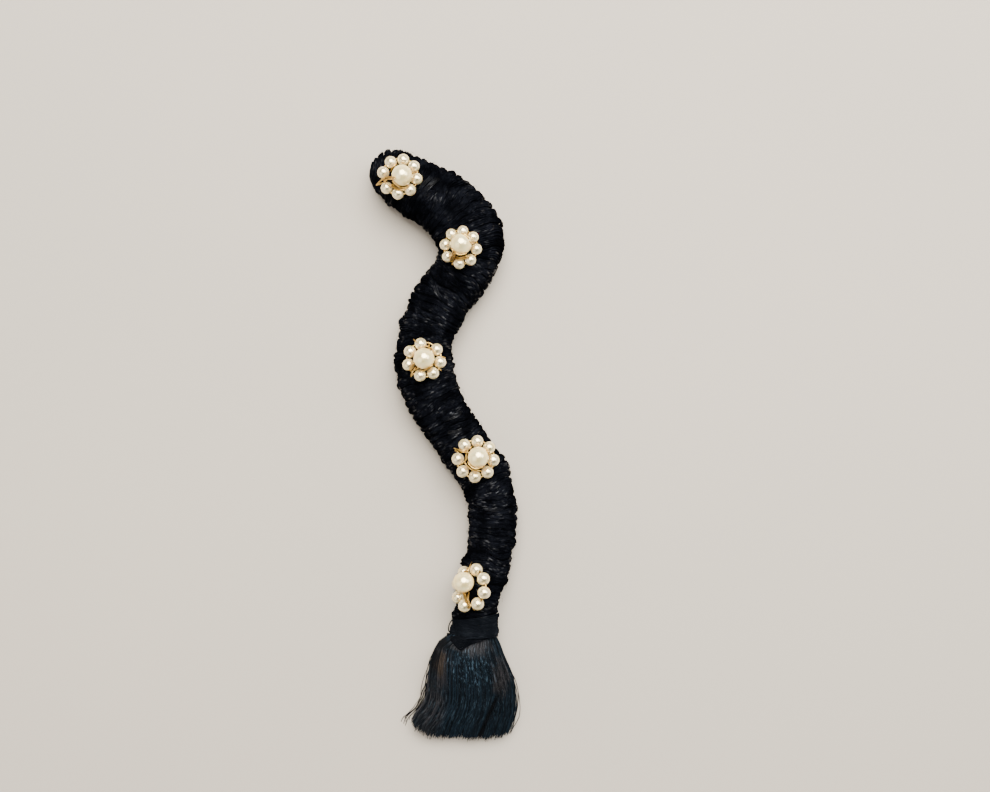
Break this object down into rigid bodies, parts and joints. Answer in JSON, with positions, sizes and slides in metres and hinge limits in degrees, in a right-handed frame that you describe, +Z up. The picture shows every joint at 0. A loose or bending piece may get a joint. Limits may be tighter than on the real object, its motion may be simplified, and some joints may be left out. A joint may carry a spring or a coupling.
{
  "type": "jadanagam braid ornament",
  "caption": "Snake-curved braid ornament wound with black thread, set with pearl flowers on gold wire and ending in a bound neck and a silk tassel.",
  "frame": {"origin": "middle of the box that holds the ornament, on the surface that it lies on", "axes": "+Y along the ornament towards its round closed end, +Z up out of the pearl flowers, +X to the right as it is seen from above with the round end at the top"},
  "size_m": [0.0355, 0.1413, 0.0197],
  "materials": {
    "body_thread": "wound yarn",
    "neck_thread": "fine silk thread",
    "tassel_silk": "glossy silk strands",
    "gold_wire": "bright gold",
    "large_pearl": "nacre",
    "small_pearl": "nacre"
  },
  "bodies": {
    "root": {"wound_body": "body_thread", "neck_binding": "neck_thread", "tassel": "tassel_silk", "flower_1_wire": "gold_wire", "flower_2_wire": "gold_wire", "flower_3_wire": "gold_wire", "flower_4_wire": "gold_wire", "flower_5_wire": "gold_wire", "flower_1_centre_pearl": "large_pearl", "flower_2_centre_pearl": "large_pearl", "flower_3_centre_pearl": "large_pearl", "flower_4_centre_pearl": "large_pearl", "flower_5_centre_pearl": "large_pearl", "flower_1_ring_pearl_1": "small_pearl", "flower_1_ring_pearl_2": "small_pearl", "flower_1_ring_pearl_3": "small_pearl", "flower_1_ring_pearl_4": "small_pearl", "flower_1_ring_pearl_5": "small_pearl", "flower_1_ring_pearl_6": "small_pearl", "flower_1_ring_pearl_7": "small_pearl", "flower_1_ring_pearl_8": "small_pearl", "flower_2_ring_pearl_1": "small_pearl", "flower_2_ring_pearl_2": "small_pearl", "flower_2_ring_pearl_3": "small_pearl", "flower_2_ring_pearl_4": "small_pearl", "flower_2_ring_pearl_5": "small_pearl", "flower_2_ring_pearl_6": "small_pearl", "flower_2_ring_pearl_7": "small_pearl", "flower_2_ring_pearl_8": "small_pearl", "flower_3_ring_pearl_1": "small_pearl", "flower_3_ring_pearl_2": "small_pearl", "flower_3_ring_pearl_3": "small_pearl", "flower_3_ring_pearl_4": "small_pearl", "flower_3_ring_pearl_5": "small_pearl", "flower_3_ring_pearl_6": "small_pearl", "flower_3_ring_pearl_7": "small_pearl", "flower_4_ring_pearl_1": "small_pearl", "flower_4_ring_pearl_2": "small_pearl", "flower_4_ring_pearl_3": "small_pearl", "flower_4_ring_pearl_4": "small_pearl", "flower_4_ring_pearl_5": "small_pearl", "flower_4_ring_pearl_6": "small_pearl", "flower_4_ring_pearl_7": "small_pearl", "flower_4_ring_pearl_8": "small_pearl", "flower_5_ring_pearl_1": "small_pearl", "flower_5_ring_pearl_2": "small_pearl", "flower_5_ring_pearl_3": "small_pearl", "flower_5_ring_pearl_4": "small_pearl", "flower_5_ring_pearl_5": "small_pearl", "flower_5_ring_pearl_6": "small_pearl", "flower_5_ring_pearl_7": "small_pearl", "flower_5_ring_pearl_8": "small_pearl"}
  },
  "joints": []
}
